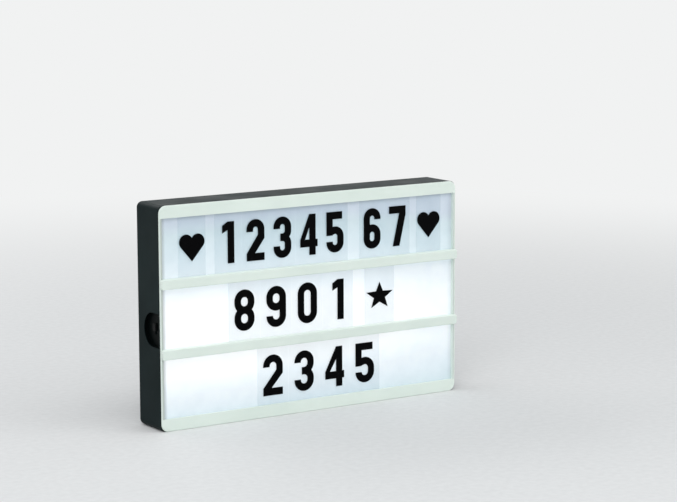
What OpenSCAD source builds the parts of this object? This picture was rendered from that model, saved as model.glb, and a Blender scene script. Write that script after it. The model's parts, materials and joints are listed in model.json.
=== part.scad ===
// Cinema light box: a lit board with three rows of plastic tiles that slide in grooves.
// +X is to the right as seen from the front, the front faces -Y, and +Z is up.
// The origin is under the middle of the box, on the surface it stands on.

/* [Box] */
// Width of the box across the front
box_w = 300; // [290:1:420]
// Height of the box
box_h = 190; // [184:1:260]
// Depth of the rear case, from its back face to the seam with the front frame
case_d = 36.7; // [36:0.1:60]

/* [Front frame and rails] */
// Height of the top and bottom bands of the frame
band_h = 10.6; // [10:0.1:14]
// Width of the side stiles, which also end the rows
stile_w = 2.5; // [2.5:0.1:4]
// Height of a letter rail
rail_h = 8.5; // [7.5:0.1:12]
// Depth of the grooves that hold the upper and lower edges of a tile
groove = 2.5; // [1.5:0.1:2.8]
// Space for a tile between the diffuser and the lips in front of it
tile_slot = 1.0; // [1:0.1:2]
// Thickness of the frame in front of the tile slot
band_t = 2.1; // [2:0.1:4]
// How far a letter rail stands in front of the tile slot
rail_t = 5.3; // [4.5:0.1:8]
// Corner radius of the front frame
frame_r = 6.5; // [5:0.5:10]
// Rounding of the frame's front edges
frame_edge = 0.8; // [0.4:0.1:0.9]
// Corner radius of a rail's ends
rail_end_r = 2; // [1:0.1:3]
// Rounding of a rail's front edges
rail_edge = 0.8; // [0.3:0.1:0.9]

/* [Rear case] */
// Thickness of the side walls
wall = 2.4; // [2:0.1:3]
// Thickness of the back wall
back_t = 2.2; // [2.1:0.1:3]
// Length of the thin lip that runs on from the walls, round the inner part of the frame
lip_l = 1.6; // [1.2:0.1:1.7]
// Corner radius of the case
case_r = 5; // [4:0.5:8]
// Rounding of the case's back edges
case_edge = 2.2; // [1:0.1:2.2]
// Distance between the two wall-hanging keyholes
keyhole_gap = 200; // [120:1:240]
// Height of the keyholes' entry circles above the base
keyhole_z = 150; // [120:1:160]
// Radius of a keyhole's entry circle
keyhole_r = 4.5; // [4:0.1:6]

/* [Light] */
// Thickness of the diffuser panel
diffuser_t = 1.8; // [1.5:0.1:3]
// Thickness of the reflector sheet
reflector_t = 0.5; // [0.3:0.1:1]
// Distance from the ends of an LED board to the sides of the box
board_end = 16; // [14:1:30]
// Height of an LED board
board_h = 12; // [10:0.5:16]
// Thickness of an LED board
board_t = 1; // [0.8:0.1:2]
// Distance between the two LED boards, centre to centre
board_gap = 44; // [36:1:60]
// Height midway between the LED boards
board_mid_z = 77; // [74:1:90]
// Number of LED chips on each board
led_count = 14; // [6:2:20]

/* [Batteries] */
// Number of cells, side by side
cell_count = 6; // [2:2:8]
// Radius of a cell
cell_r = 7.15; // [7:0.05:7.25]
// Length of a cell with its nub
cell_l = 50.5; // [49.5:0.1:50.5]
// Length of a contact spring under load
spring_l = 5.2; // [4.6:0.1:6]
// Thickness of the battery door
door_t = 1.8; // [1.6:0.1:1.9]

/* [Switch and socket] */
// Height of the switch recess's middle
switch_z = 85; // [80:1:100]
// Radius of the round end of the switch recess
recess_r = 14.5; // [14:0.5:18]
// Depth of the switch recess
recess_d = 3.5; // [3:0.1:4]
// Travel of the switch slider
switch_travel = 4; // [3:0.1:4.5]
// Height of the supply socket's middle
socket_z = 30; // [28:1:45]

/* [Tiles] */
// Width of the tiles in the top row
narrow_tile_w = 26.2; // [24:0.1:26.2]
// Width of the tiles in the other rows
wide_tile_w = 31; // [28:0.1:31]
// Space between tiles that stand side by side
tile_gap = 0.45; // [0.3:0.05:0.6]
// Thickness of a tile
tile_t = 0.5; // [0.3:0.05:0.5]
// Height of the printed figures
glyph_h = 35.5; // [28:0.5:38]
// Stroke of the printed figures
stroke = 6.5; // [4.5:0.1:6.8]
// Width of a figure on a top-row tile
narrow_glyph_w = 17.6; // [16.5:0.1:20]
// Width of a figure on the other tiles
wide_glyph_w = 19.6; // [17:0.1:24]

/* [Hidden] */
$fn = 64;
cut = 1; // how far a cutting shape runs past the face that it cuts
gap = 0.3; // clearance between pieces that move past each other

// joint between the frame and the case: a shadow line outside, and a lip with a close fit inside
shadow_w = 0.5;
shadow_d = 0.5;
lip_t = 1.6;
lip_edge = 0.4;
frame_fit = 0.1;

// planes across the depth, from the back to the front
front_t = tile_slot + rail_t;
y_back = (case_d + front_t) / 2;
y_seam = y_back - case_d;
y_lip = y_seam - tile_slot;
y_band = y_lip - band_t;
y_rail = y_lip - rail_t;
y_rim = y_seam - lip_l;
y_shadow = y_rim - shadow_w;
y_inner = y_back - back_t;

// rows and rails, counted from the top
row_count = 3;
row_h = (box_h - 2 * band_h - (row_count - 1) * rail_h) / row_count;
function row_z(row) = band_h + (row_count - 1 - row) * (row_h + rail_h);
function row_mid(row) = row_z(row) + row_h / 2;
function rail_z(row) = row_z(row) - rail_h / 2;
spine_h = rail_h - 2 * groove;
window_x = box_w / 2 - stile_w;
peg_r = 0.5;
peg_x = box_w / 2 - shadow_d - 1;
peg_fit = 0.05;
peg_l = 0.9;

// screws that hold the frame to the case, in pillars of the case
boss_r = 2.1;
boss_inset = wall + 0.2 + boss_r;
boss_l = 6.2;
y_boss = y_seam + boss_l;
boss_side = 24;
boss_x = [-box_w / 2 + boss_side, 0, box_w / 2 - boss_side];
boss_z = [boss_inset, box_h - boss_inset];
pillar_r = 3.4;
shelf_t = 3;
shank_r = 1;
shank_fit = 0.05;
shank_hole_r = 1.3;
head_r = 2;
head_t = 1.6;
head_hole_r = 2.3;
case_screw_l = shelf_t + boss_l - 1.2;

// diffuser and the ledge that it sits on
diffuser_inset = boss_inset + boss_r + gap;
ledge_t = 1.5;
ledge_side = 3;
ledge_cover = 2;
y_ledge = y_seam + diffuser_t;

// battery bay, open at the back and closed by the door
cell_gap = 0.8;
cell_pitch = 2 * cell_r + cell_gap;
cell_body_l = cell_l - 1.1;
nub_r = 2.75;
contact_t = 0.4;
contact_depth = 10;
contact_half = 5.7;
bay_w = cell_count * cell_pitch + cell_gap;
bay_z = 18;
bay_h = cell_l + spring_l + 2 * contact_t;
bay_top = bay_z + bay_h;
bay_wall = 4.4;
bay_floor = 1.6;
door_seat = 0.2;
cell_clear = 0.6;
y_floor = y_back - door_t - door_seat - 2 * cell_r - cell_clear;
y_cell = y_floor + cell_r + 0.1;
y_reflector = y_floor - bay_floor;
tab_w = 4;
tab_out = 2.6;
x_tab = bay_w / 2 + bay_wall + tab_out;
function cell_x(i) = (i - (cell_count - 1) / 2) * cell_pitch;

// door, hinged on two pins along its lower edge
hinge_r = 1.4;
hinge_z = bay_z - 2.2;
y_hinge = y_back - hinge_r;
door_margin = 1.5;
recess_x = bay_w / 2 + door_margin;
recess_top = bay_top + 2.2;
door_x = recess_x - gap;
door_top = recess_top - gap;
hinge_pin_r = 0.7;
hinge_pin_fit = 0.05;
hinge_pin_l = 2;
tongue_w = 14;
tongue_l = 9;
tongue_slit = 0.7;
grip_count = 3;
grip_pitch = 1.8;
grip_h = 0.8;
grip_d = 0.5;
grip_side = 1.6;
scoop_r = 9;
scoop_d = 1.2;

// conical contact springs
wire_r = 0.35;
coil_base_r = 4.5;
coil_tip_r = 3;
coil_turns = 4;
coil_steps = 12;
wire_sides = 6;

// LED boards and their bosses
y_board = y_reflector - reflector_t;
y_chip = y_board - board_t;
board_z = [board_mid_z - board_gap / 2, board_mid_z + board_gap / 2];
board_l = box_w - 2 * board_end;
board_screw_side = 12;
board_screw_x = board_l / 2 - board_screw_side;
board_boss_r = 3;
board_screw_hole = 8;
board_screw_l = board_t + reflector_t + board_screw_hole - 1;
board_shank_r = 0.9;
board_head_t = 1.3;
chip_w = 3.5;
chip_h = 2.8;
chip_t = 0.7;
chip_margin = 20;
reflector_side = 1.1;
reflector_inset = boss_inset + pillar_r + 1.2;
reflector_r = 5;

// recess in the left side, with the slide switch in its floor
recess_rim = 2.9;
recess_straight = 8;
recess_wall = 2;
lead_in = 3.4;
lead_in_d = 1.2;
y_recess = y_seam + recess_rim;
y_switch = y_recess + recess_straight;
x_recess = -box_w / 2 + recess_d;
x_flange = x_recess + recess_wall;
stem_y = 1.3;
stem_z = 2;
stem_in = 2.5;
cap_y = 2.2;
cap_z = 3;
cap_t = 1.5;
cap_gap = 0.4;
rib_t = 0.4;
rib_h = 0.6;
rib_gap = 1.7;
flange_t = 0.6;
flange_y = 3.2;
flange_z = 11;
housing_x = 5.5;
housing_y = 3;
housing_z = 6.8;
switch_screw_z = 9;
switch_shank_r = 0.7;
switch_shank_l = 1.4;
switch_head_r = 1.5;
switch_head_t = 0.9;
terminal_l = 1.6;
terminal_w = 0.8;
terminal_gap = 2.5;
terminal_space = 2.5;
x_terminal = x_flange + housing_x;
slider_z = switch_z + switch_travel / 2;

// supply socket in the right side
socket_behind = 10.5;
y_socket = y_back - socket_behind;
x_socket = box_w / 2 - wall;
snout_r = 4;
snout_in = 0.6;
socket_bore_r = 2.8;
socket_bore_l = 10;
socket_pin_r = 1;
socket_body = [14, 9, 11];
socket_pin_in = 0.5;
socket_tabs = [-2, 3];
x_socket_face = box_w / 2 - snout_in;
x_socket_end = x_socket - socket_body[0];
cradle_t = 1.5;
cradle_fit = 0.1;

// tiles and what is printed on them
tile_clear = 0.3;
tile_back = 0.25;
y_tile = y_seam - tile_back - tile_t;
print_t = 0.1;
heart_w = 24.2;
heart_h = 23;
heart_drop = 1.4;
lobe_r = 6.5;
star_w = 28;
star_h = 22.8;
star_waist = 0.42;

// trains of tiles that stand side by side: name, row, share of the row's free length that lies
// to the left of the train, tile width, figure width and figures
HEART = 10;
STAR = 11;
GROUPS = [
    ["top_left_heart", 0, 0.288, narrow_tile_w, narrow_glyph_w, [HEART]],
    ["top_five", 0, 0.441, narrow_tile_w, narrow_glyph_w, [1, 2, 3, 4, 5]],
    ["top_two", 0, 0.658, narrow_tile_w, narrow_glyph_w, [6, 7]],
    ["top_right_heart", 0, 0.784, narrow_tile_w, narrow_glyph_w, [HEART]],
    ["middle_four", 1, 0.462, wide_tile_w, wide_glyph_w, [8, 9, 0, 1]],
    ["middle_star", 1, 0.551, wide_tile_w, wide_glyph_w, [STAR]],
    ["bottom_four", 2, 0.541, wide_tile_w, wide_glyph_w, [2, 3, 4, 5]]
];
function sum(v, i = 0) = i < len(v) ? v[i] + sum(v, i + 1) : 0;
function train_l(group) = len(group[5]) * (group[3] + tile_gap) - tile_gap;
function row_trains(row) = [for (g = GROUPS) if (g[1] == row) g];
function free_l(row) = 2 * window_x - sum([for (g = row_trains(row)) train_l(g)]);
function tiles_before(group) = sum([for (g = row_trains(group[1])) if (g[2] < group[2]) train_l(g)]);
function train_x(group) = -window_x + tiles_before(group) + group[2] * free_l(group[1]);
function slot_x(group, k) = train_x(group) + group[3] / 2 + k * (group[3] + tile_gap);
function tile_name(group, k) = str(group[0], "_tile", len(group[5]) > 1 ? str("_", k + 1) : "");
function print_name(group) = str(group[0], "_print");
function cell_name(i) = str("aa_cell_", i + 1);

// leads inside the case: each keeps its hand-laid bends, and its ends follow what they are soldered
// to. With a high ease the bends go with the lead's start, with a low ease they go with its end.
LEAD_R = 0.8;
joint_fit = 0.1; // depth of a lead's end in its solder
function carried(route, from, to, ease) =
    let (last = len(route) - 1)
    [for (i = [0 : last])
        let (share = pow(i / last, ease))
        route[i] + (1 - share) * (from - route[0]) + share * (to - route[last])];

y_solder = y_chip - LEAD_R - joint_fit;
tab_solder_x = x_tab - 1.1;
tab_solder_z = bay_z + contact_t + LEAD_R + joint_fit;
switch_solder_x = x_terminal + terminal_l / 2 + joint_fit;
socket_solder_x = x_socket_end - terminal_l / 2 + joint_fit;
BATTERY_LEAD = carried(
    [[-51.6, 12, 19.3], [-58, 12.5, 20], [-70, 16, 28], [-86, 17.5, 45], [-104, 17.5, 62],
     [-122, 17, 75], [-134, 13, 81], [-138.2, 8, 82.5], [-138.2, 2.5, 82.5], [-138.1, -3.4, 82.5]],
    [-tab_solder_x, y_cell, tab_solder_z],
    [switch_solder_x, y_switch + LEAD_R + joint_fit, switch_z - terminal_gap],
    3
);
SWITCH_LEAD = carried(
    [[-138.1, -3.6, 87.5], [-137.3, -1.6, 89.5], [-136, -0.4, 93.5], [-134, 0.2, 97.5], [-131, 0.6, 99]],
    [switch_solder_x, y_switch + LEAD_R - joint_fit, switch_z + terminal_gap],
    [-board_l / 2 + 3, y_solder, board_z[1]],
    0.4
);
BOARD_LEAD = carried(
    [[131, 0.6, 96.5], [134, 0.8, 90], [135, 0.9, 77], [134, 0.8, 64], [131, 0.6, 57.5]],
    [board_l / 2 - 3, y_solder, board_z[1] - 2.5],
    [board_l / 2 - 3, y_solder, board_z[0] + 2.5],
    1
);
RETURN_LEAD = carried(
    [[51.6, 12, 19.3], [58, 12.5, 20], [74, 15.5, 23], [94, 17, 26], [114, 15, 28],
     [126, 12, 28], [132.9, 11, 28]],
    [tab_solder_x, y_cell, tab_solder_z],
    [socket_solder_x, y_socket, socket_z + socket_tabs[0]],
    1
);
SOCKET_LEAD = carried(
    [[132.9, 11, 33], [128.5, 10.6, 35], [127, 8.5, 37.5], [127.2, 4, 40.5], [128, 0.9, 45],
     [128.5, 0.6, 52]],
    [socket_solder_x, y_socket, socket_z + socket_tabs[1]],
    [board_l / 2 - 5.5, y_solder, board_z[0] - 3],
    1
);
LEAD_HOLE = (SOCKET_LEAD[3] + SOCKET_LEAD[4]) / 2;
LEAD_HOLE_R = 2.4;

// ---- shared shapes ----

// a block between two limits on each axis
module block(x, y, z) {
    translate([x[0], y[0], z[0]])
        cube([x[1] - x[0], y[1] - y[0], z[1] - z[0]]);
}

// an outline drawn in X and Z, made solid from y0 to y1
module along_y(y0, y1) {
    translate([0, y1, 0])
        rotate([90, 0, 0])
            linear_extrude(y1 - y0)
                children();
}

// an outline drawn in Y and Z, made solid from x0 to x1
module along_x(x0, x1) {
    translate([x0, 0, 0])
        rotate([90, 0, 90])
            linear_extrude(x1 - x0)
                children();
}

// a rod along Y
module rod_y(r, x, z, y0, y1) {
    translate([x, y0, z])
        rotate([-90, 0, 0])
            cylinder(r = r, h = y1 - y0);
}

// a rod along X
module rod_x(r, y, z, x0, x1) {
    translate([x0, y, z])
        rotate([0, 90, 0])
            cylinder(r = r, h = x1 - x0);
}

// a rectangle with round corners
module round_rect(x, z, r) {
    translate([x[0] + r, z[0]])
        square([x[1] - x[0] - 2 * r, z[1] - z[0]]);
    translate([x[0], z[0] + r])
        square([x[1] - x[0], z[1] - z[0] - 2 * r]);
    for (cx = [x[0] + r, x[1] - r])
        for (cz = [z[0] + r, z[1] - r])
            translate([cx, cz])
                circle(r);
}

// a quarter of a disc, which rounds an outer corner
module quarter(r) {
    intersection() {
        circle(r);
        square(r);
    }
}

// the section of a soft slab: square at y = 0, rounded by edge at y = d
module soft_section(w, d, edge) {
    translate([-w / 2, 0])
        square([w, d - edge]);
    translate([-w / 2 + edge, 0])
        square([w - 2 * edge, d]);
    for (side = [0, 1])
        mirror([side, 0])
            translate([w / 2 - edge, d - edge])
                quarter(edge);
}

// a slab with corners of radius r, whose edges at y = d are rounded by edge
module soft_slab(w, h, d, r, edge) {
    translate([0, 0, r])
        linear_extrude(h - 2 * r)
            soft_section(w, d, edge);
    translate([w / 2 - r, 0, h / 2])
        rotate([0, -90, 0])
            linear_extrude(w - 2 * r)
                soft_section(h, d, edge);
    for (x = [-1, 1])
        for (z = [r, h - r])
            translate([x * (w / 2 - r), 0, z])
                rotate([-90, 0, 0])
                    rotate_extrude() {
                        square([r, d - edge]);
                        square([r - edge, d]);
                        translate([r - edge, d - edge])
                            quarter(edge);
                    }
}

// the same slab with its rounded edges at the front, y0, and its flat face at y1
module front_slab(w, h, y0, y1, r, edge) {
    translate([0, y1, 0])
        mirror([0, 1, 0])
            soft_slab(w, h, y1 - y0, r, edge);
}

// a screw whose head faces +Y and seats at y, with its shank running to the front
module screw_y(x, z, y, r, l, head_r, head_t) {
    rod_y(r, x, z, y - l, y);
    difference() {
        rod_y(head_r, x, z, y, y + head_t);
        for (size = [[head_r * 0.6, 0.25], [0.25, head_r * 0.6]])
            block([x - size[0], x + size[0]], [y + head_t / 2, y + head_t + cut], [z - size[1], z + size[1]]);
    }
}

// ---- swept tubes: springs and leads ----

function unit(v) = v / norm(v);

// a smooth curve through points a, b, c and d, between b and c
function between(a, b, c, d, t) =
    0.5 * (2 * b + (c - a) * t + (2 * a - 5 * b + 4 * c - d) * t * t + (3 * b - a - 3 * c + d) * t * t * t);
function curve(p, steps) = concat(
    [for (i = [0 : len(p) - 2])
        for (s = [0 : steps - 1])
            between(p[max(i - 1, 0)], p[i], p[i + 1], p[min(i + 2, len(p) - 1)], s / steps)],
    [p[len(p) - 1]]
);

// one ring of the tube's points round point i of a path
function ring(path, i, r, sides) =
    let (
        ahead = unit(path[min(i + 1, len(path) - 1)] - path[max(i - 1, 0)]),
        across = unit(cross(ahead, [1, 1, -1])),
        up = cross(ahead, across)
    )
    [for (k = [0 : sides - 1]) path[i] + r * (cos(360 * k / sides) * across + sin(360 * k / sides) * up)];

// triangles that close a tube of rings
function tube_faces(rings, sides) = concat(
    [for (k = [1 : sides - 2]) [0, k, k + 1]],
    [for (i = [0 : rings - 2])
        for (k = [0 : sides - 1])
            for (half = [0, 1])
                let (a = i * sides + k, b = i * sides + (k + 1) % sides)
                half == 0 ? [a, a + sides, b] : [b, a + sides, b + sides]],
    [for (k = [1 : sides - 2]) [(rings - 1) * sides, (rings - 1) * sides + k + 1, (rings - 1) * sides + k]]
);

module tube(rings, sides) {
    polyhedron(
        points = [for (one = rings) for (p = one) p],
        faces = tube_faces(len(rings), sides)
    );
}

module lead(route) {
    path = curve(route, 2);
    tube([for (i = [0 : len(path) - 1]) ring(path, i, LEAD_R, 8)], 8);
}

// one conical spring standing on z = 0
module coil() {
    last = coil_turns * coil_steps;
    tube(
        [for (i = [0 : last])
            let (
                turn = 360 * i / coil_steps,
                r = coil_base_r + (coil_tip_r - coil_base_r) * i / last,
                z = wire_r + (spring_l - 2 * wire_r) * i / last
            )
            [for (k = [0 : wire_sides - 1])
                let (a = -360 * k / wire_sides, reach = r + wire_r * cos(a))
                [reach * cos(turn), reach * sin(turn), z + wire_r * sin(a)]]],
        wire_sides
    );
}

// ---- printed figures, each standing on y = 0 with its middle at x = 0 ----

module pill(w, h, z) {
    r = min(w / 2 - 0.01, h / 2 - 0.01);
    round_rect([-w / 2, w / 2], [z, z + h], r);
}

// a closed bowl: a pill with a pill-shaped hole
module bowl(w, h, z) {
    difference() {
        pill(w, h, z);
        pill(w - 2 * stroke, h - 2 * stroke, z + stroke);
    }
}

module zero(w, h) {
    bowl(w, h, 0);
}

module one(w, h) {
    flag = stroke * 0.8;
    translate([-stroke / 2 + flag / 2, 0])
        square([stroke, h]);
    polygon([
        [-stroke / 2 - flag / 2, h - stroke * 1.5],
        [-stroke / 2 + flag / 2 + 0.1, h - stroke * 1.1],
        [-stroke / 2 + flag / 2 + 0.1, h],
        [-stroke / 2 - flag / 2, h - stroke * 0.5]
    ]);
}

module two(w, h) {
    waist = h * 0.62;
    difference() {
        bowl(w, h, 0);
        translate([-w, -cut])
            square([2 * w, waist + cut]);
        translate([-w, -cut])
            square([w, h * 0.7 + cut]);
    }
    polygon([
        [w / 2 - stroke, waist], [w / 2, waist], [w / 2, waist - stroke * 0.5],
        [-w / 2 + stroke * 1.2, stroke * 0.9], [-w / 2, stroke * 0.9], [-w / 2, stroke]
    ]);
    translate([-w / 2, 0])
        square([w, stroke]);
}

module three(w, h) {
    difference() {
        eight(w, h);
        translate([-w, h * 0.29])
            square([w * 0.98, h * 0.42]);
    }
    translate([-w * 0.12, (h - stroke) / 2])
        square([w * 0.3, stroke]);
}

module four(w, h) {
    foot = h * 0.2;
    stem = w / 2 - stroke * 1.3;
    difference() {
        polygon([
            [stem, h], [stem + stroke, h], [stem + stroke, foot], [-w / 2, foot], [-w / 2, foot + stroke]
        ]);
        polygon([
            [stem + 0.01, foot + stroke], [stem + 0.01, h * 0.68], [-w / 2 + stroke * 0.75, foot + stroke]
        ]);
    }
    translate([stem, 0])
        square([stroke, h]);
    translate([-w / 2, foot])
        square([w, stroke]);
}

module five(w, h) {
    lower = h * 0.64;
    difference() {
        bowl(w, lower, 0);
        translate([-w, h * 0.27])
            square([w, h * 0.17]);
    }
    translate([-w / 2, h * 0.42])
        square([stroke, h * 0.58]);
    translate([-w / 2, h - stroke])
        square([w * 0.92, stroke]);
}

module six(w, h) {
    bowl(w, h * 0.6, 0);
    difference() {
        bowl(w, h, 0);
        translate([0, h * 0.3])
            square([w, h * 0.42]);
    }
}

module seven(w, h) {
    translate([-w / 2, h - stroke])
        square([w, stroke]);
    polygon([
        [w / 2 - stroke * 1.06, h - stroke], [w / 2, h - stroke], [w / 2, h - stroke * 1.2],
        [stroke * 0.35, 0], [-stroke * 0.75, 0]
    ]);
}

module eight(w, h) {
    bowl(w, (h + stroke) / 2, 0);
    bowl(w, (h + stroke) / 2, (h - stroke) / 2);
}

module nine(w, h) {
    translate([0, h])
        rotate(180)
            six(w, h);
}

// two round lobes, with straight sides that meet them and run to the tip
module heart() {
    cx = heart_w / 2 - lobe_r;
    cz = heart_h - lobe_r;
    reach = sqrt(cx * cx + cz * cz - lobe_r * lobe_r);
    angle = atan2(cz, cx) - asin(lobe_r / norm([cx, cz]));
    side = reach * [cos(angle), sin(angle)];
    for (x = [-cx, cx])
        translate([x, cz])
            circle(lobe_r);
    polygon([[0, 0], side, [cx, cz], [0, cz + lobe_r * 0.45], [-cx, cz], [-side[0], side[1]]]);
}

// five points, drawn as wide and as high as it is printed
module star() {
    rise = (1 - cos(144)) / 2;
    for_x = star_w / 2 / sin(72);
    for_z = star_h / 2 / rise;
    polygon([
        for (i = [0 : 9])
            let (reach = i % 2 == 0 ? 1 : star_waist)
            [for_x * reach * sin(36 * i), for_z * (reach * cos(36 * i) - cos(144))]
    ]);
}

function figure_h(code) = code == HEART ? heart_h : code == STAR ? star_h : glyph_h;
function figure_z(row, code) = row_mid(row) - figure_h(code) / 2 - (code == HEART ? heart_drop : 0);

module figure(code, w) {
    h = glyph_h;
    if (code == 0) zero(w, h);
    if (code == 1) one(w, h);
    if (code == 2) two(w, h);
    if (code == 3) three(w, h);
    if (code == 4) four(w, h);
    if (code == 5) five(w, h);
    if (code == 6) six(w, h);
    if (code == 7) seven(w, h);
    if (code == 8) eight(w, h);
    if (code == 9) nine(w, h);
    if (code == HEART) heart();
    if (code == STAR) star();
}

// ---- rear case ----

// the outline of the switch recess in Y and Z, grown by extra all round but at the front
module recess_outline(extra, front) {
    reach = recess_r + extra;
    intersection() {
        translate([y_switch, switch_z])
            circle(reach);
        translate([y_switch - cut, switch_z - reach])
            square([reach + 2 * cut, 2 * reach]);
    }
    translate([y_recess - front, switch_z - reach])
        square([recess_straight + front, 2 * reach]);
}

module case_shell() {
    difference() {
        union() {
            translate([0, y_seam, 0])
                soft_slab(box_w, box_h, case_d, case_r, case_edge);
            front_slab(box_w, box_h, y_rim, y_seam, case_r, lip_edge);
        }
        along_y(y_seam - cut / 2, y_inner)
            round_rect([-box_w / 2 + wall, box_w / 2 - wall], [wall, box_h - wall], case_r - wall);
        along_y(y_rim - cut, y_seam)
            round_rect([-box_w / 2 + lip_t, box_w / 2 - lip_t], [lip_t, box_h - lip_t], case_r - lip_t);
    }
}

// the ledge behind the diffuser, all round
module case_ledge() {
    depth_z = diffuser_inset + ledge_cover;
    along_y(y_ledge, y_ledge + ledge_t)
        difference() {
            round_rect([-box_w / 2 + wall / 2, box_w / 2 - wall / 2], [wall / 2, box_h - wall / 2],
                       case_r - wall / 2);
            translate([-box_w / 2 + wall + ledge_side, depth_z])
                square([box_w - 2 * (wall + ledge_side), box_h - 2 * depth_z]);
        }
}

module case_solids() {
    case_shell();
    case_ledge();
    block([-bay_w / 2 - bay_wall, bay_w / 2 + bay_wall], [y_reflector, y_inner + cut],
          [bay_z - bay_wall, bay_top + bay_wall]);
    for (x = boss_x)
        for (z = boss_z)
            rod_y(pillar_r, x, z, y_boss, y_inner + cut);
    for (x = [-board_screw_x, board_screw_x])
        for (z = board_z)
            rod_y(board_boss_r, x, z, y_reflector, y_inner + cut);
    along_x(-box_w / 2 + wall / 2, x_flange)
        recess_outline(recess_wall, y_recess - y_ledge);
    for (side = [-1, 1])
        let (z = socket_z + side * (socket_body[2] / 2 + cradle_fit + cradle_t / 2))
            block([x_socket_end, x_socket + cut], [y_socket - socket_body[1] / 2, y_inner + cut],
                  [z - cradle_t / 2, z + cradle_t / 2]);
}

module bay_cuts() {
    block([-bay_w / 2, bay_w / 2], [y_floor, y_back + cut], [bay_z, bay_top]);
    block([-recess_x, recess_x], [y_back - door_t - door_seat, y_back + cut], [hinge_z, recess_top]);
    rod_x(hinge_r + gap, y_hinge, hinge_z, -recess_x, recess_x);
    block([-recess_x, recess_x], [y_hinge, y_back + cut], [hinge_z - hinge_r - gap, hinge_z]);
    rod_x(hinge_pin_r + hinge_pin_fit, y_hinge, hinge_z, -recess_x - hinge_pin_l, recess_x + hinge_pin_l);
    rod_y(scoop_r, 0, recess_top, y_back - scoop_d, y_back + cut);
    block([-bay_w / 2 - bay_wall - cut, bay_w / 2 + bay_wall + cut],
          [y_cell - tab_w / 2 - gap, y_cell + tab_w / 2 + gap], [bay_z, bay_z + contact_t + gap]);
}

module screw_cuts() {
    for (x = boss_x)
        for (z = boss_z) {
            rod_y(head_hole_r, x, z, y_boss + shelf_t, y_back + cut);
            rod_y(shank_hole_r, x, z, y_boss - cut, y_boss + shelf_t + cut);
            rod_y(boss_r + gap, x, z, y_ledge - cut, y_ledge + ledge_t + cut);
        }
    for (x = [-board_screw_x, board_screw_x])
        for (z = board_z)
            rod_y(board_shank_r + shank_fit, x, z, y_reflector - cut, y_reflector + board_screw_hole);
}

module keyhole_cuts() {
    slot_r = keyhole_r * 0.5;
    slot_rise = keyhole_r + slot_r;
    for (x = [-keyhole_gap / 2, keyhole_gap / 2])
        along_y(y_inner - cut, y_back + cut) {
            translate([x, keyhole_z])
                circle(keyhole_r);
            translate([x - slot_r, keyhole_z])
                square([2 * slot_r, slot_rise]);
            translate([x, keyhole_z + slot_rise])
                circle(slot_r);
        }
}

module switch_cuts() {
    along_x(-box_w / 2 - cut, x_recess)
        recess_outline(0, 0);
    along_x(-box_w / 2 - cut, -box_w / 2 + lead_in_d)
        recess_outline(0, lead_in);
    reach_z = stem_z + switch_travel / 2 + gap;
    block([x_recess - cut, x_flange + cut], [y_switch - stem_y - gap, y_switch + stem_y + gap],
          [switch_z - reach_z, switch_z + reach_z]);
    for (z = [switch_z - switch_screw_z, switch_z + switch_screw_z])
        rod_x(switch_shank_r + shank_fit, y_switch, z, x_flange - switch_shank_l, x_flange + cut);
}

module rear_case() {
    color("#2a2e2f")
        difference() {
            case_solids();
            bay_cuts();
            screw_cuts();
            keyhole_cuts();
            switch_cuts();
            rod_x(snout_r + gap / 2, y_socket, socket_z, x_socket - cut / 2, box_w / 2 + cut);
        }
}

// ---- front frame and rails ----

module front_frame() {
    inner_x = box_w / 2 - lip_t - frame_fit;
    inner_z = lip_t + frame_fit;
    color("#dfe6e0")
        difference() {
            union() {
                front_slab(box_w, box_h, y_band, y_shadow, frame_r, frame_edge);
                along_y(y_shadow, y_rim)
                    round_rect([-box_w / 2 + shadow_d, box_w / 2 - shadow_d], [shadow_d, box_h - shadow_d],
                               frame_r - shadow_d);
                along_y(y_rim, y_seam)
                    round_rect([-inner_x, inner_x], [inner_z, box_h - inner_z], case_r - lip_t);
                for (x = boss_x)
                    for (z = boss_z)
                        rod_y(boss_r, x, z, y_seam, y_boss);
            }
            block([-window_x, window_x], [y_band - cut, y_seam + cut], [band_h, box_h - band_h]);
            block([-window_x, window_x], [y_lip, y_seam + cut], [band_h - groove, box_h - band_h + groove]);
            for (x = boss_x)
                for (z = boss_z)
                    rod_y(shank_r + shank_fit, x, z, y_seam, y_boss + cut);
            for (x = [-peg_x, peg_x])
                for (row = [0, 1])
                    rod_y(peg_r + peg_fit, x, rail_z(row), y_band - cut, y_shadow);
        }
}

// a rail across the whole front: a bar in front, a part that fills the frame's opening, and a spine
// behind it that leaves the two grooves
module letter_rail(z) {
    inner_x = window_x - gap;
    color("#dde6de") {
        translate([0, 0, z - rail_h / 2])
            front_slab(box_w, rail_h, y_rail, y_band, rail_end_r, rail_edge);
        block([-inner_x, inner_x], [y_band, y_lip], [z - rail_h / 2, z + rail_h / 2]);
        block([-inner_x, inner_x], [y_lip, y_seam], [z - spine_h / 2, z + spine_h / 2]);
        for (x = [-peg_x, peg_x])
            rod_y(peg_r, x, z, y_band, y_band + peg_l);
    }
}

module upper_rail() {
    letter_rail(rail_z(0));
}

module lower_rail() {
    letter_rail(rail_z(1));
}

// ---- light ----

module diffuser_panel() {
    x = box_w / 2 - wall - frame_fit;
    color("#f4f8ff")
        along_y(y_seam, y_ledge)
            round_rect([-x, x], [diffuser_inset, box_h - diffuser_inset], case_r / 3);
}

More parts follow.
